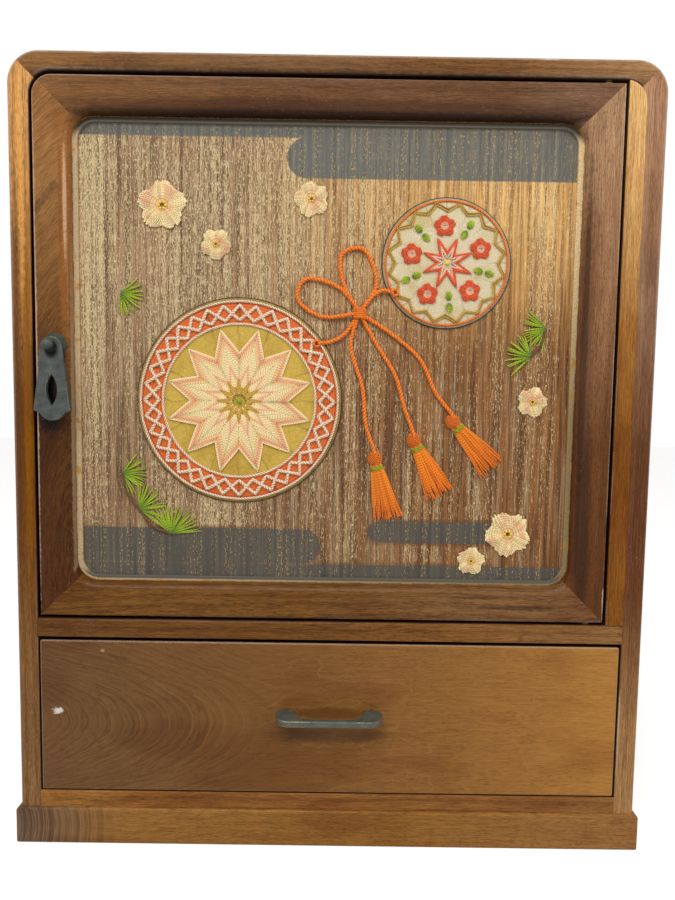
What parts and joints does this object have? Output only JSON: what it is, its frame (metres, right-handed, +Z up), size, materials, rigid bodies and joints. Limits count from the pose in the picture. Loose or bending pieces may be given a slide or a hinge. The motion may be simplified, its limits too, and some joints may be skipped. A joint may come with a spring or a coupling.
{
  "type": "tabletop tansu chest",
  "caption": "Small wooden tabletop chest with one framed picture door on side pivots above a single drawer, on a low plinth, with a drop pull and a bow handle.",
  "frame": {"origin": "middle of the bounding box's base, on the table plane under the plinth", "axes": "+Z up, +Y from the front to the back (the front with the door faces -Y), +X to the right seen from the front"},
  "size_m": [0.3134, 0.2518, 0.3864],
  "materials": {
    "case_wood": "old brown varnish over open grain, worn on the edges",
    "strip_wood": "honey brown varnish",
    "door_wood": "reddish brown varnish, open pores",
    "drawer_wood": "brown varnish with a flat figure",
    "plinth_wood": "brown varnish, rubbed edges",
    "inner_wood": "bare planed softwood",
    "panel_wood": "brushed grain with pale filler and grey painted bands",
    "cove_gilt": "pale filler, rubbed",
    "patina_metal": "grey-green patina, matt",
    "brass": "dull brass",
    "steel": "plain",
    "magnet": "dark, ground",
    "cloth_gold": "ochre and gold cloth with stitched thread",
    "cloth_white": "white woven cloth with red and orange stitches",
    "silk_orange": "orange silk thread"
  },
  "bodies": {
    "case": {"stile_left": "case_wood", "stile_right": "case_wood", "top_rail": "case_wood", "side_left": "case_wood", "side_right": "case_wood", "top_board": "case_wood", "back_panel": "inner_wood", "back_nails": "steel", "divider_rail": "case_wood", "divider_board": "inner_wood", "lower_rail": "case_wood", "bottom_board": "inner_wood", "hinge_strip": "strip_wood", "shelf": "inner_wood", "shelf_cleat_left": "inner_wood", "shelf_cleat_right": "inner_wood", "door_stop_side": "inner_wood", "door_stop_top": "inner_wood", "catch_magnet": "magnet", "runner_left": "inner_wood", "runner_right": "inner_wood", "plinth_front": "plinth_wood", "plinth_left": "plinth_wood", "plinth_right": "plinth_wood", "plinth_back": "plinth_wood", "plinth_blocks": "inner_wood", "pivot_socket_top": "brass", "pivot_socket_bottom": "brass"},
    "door": {"door_stile_left": "door_wood", "door_stile_right": "door_wood", "door_top_rail": "door_wood", "door_bottom_rail": "door_wood", "door_panel": "panel_wood", "panel_cove": "cove_gilt", "panel_beads": "inner_wood", "picture_ball_large": "cloth_gold", "picture_ball_small": "cloth_white", "picture_tassels": "silk_orange", "pull_rosette": "patina_metal", "pull_washer": "steel", "strike_plate": "steel", "pivot_pin_top": "brass", "pivot_pin_bottom": "brass"},
    "pull_stud": {"pull_post": "patina_metal"},
    "pull": {"pull_plate": "patina_metal"},
    "drawer": {"drawer_front": "drawer_wood", "drawer_side_left": "inner_wood", "drawer_side_right": "inner_wood", "drawer_back": "inner_wood", "drawer_bottom": "inner_wood", "drawer_handle": "patina_metal", "handle_nuts": "steel"}
  },
  "joints": [
    {"name": "door_swing", "type": "hinge", "parent": "case", "child": "door", "pos_m": [0.1273, -0.10965, 0.24645], "axis": [0, 0, 1], "range_deg": [0, 110]},
    {"name": "drawer_slide", "type": "slide", "parent": "case", "child": "drawer", "axis": [0, -1, 0], "range_m": [0, 0.16]},
    {"name": "stud_turn", "type": "hinge", "parent": "door", "child": "pull_stud", "pos_m": [-0.1345, -0.11345, 0.2499], "axis": [0, -1, 0], "range_deg": [-25, 25]},
    {"name": "pull_lift", "type": "hinge", "parent": "pull_stud", "child": "pull", "pos_m": [-0.1345, -0.11745, 0.252], "axis": [-1, 0, 0], "range_deg": [0, 30]}
  ]
}
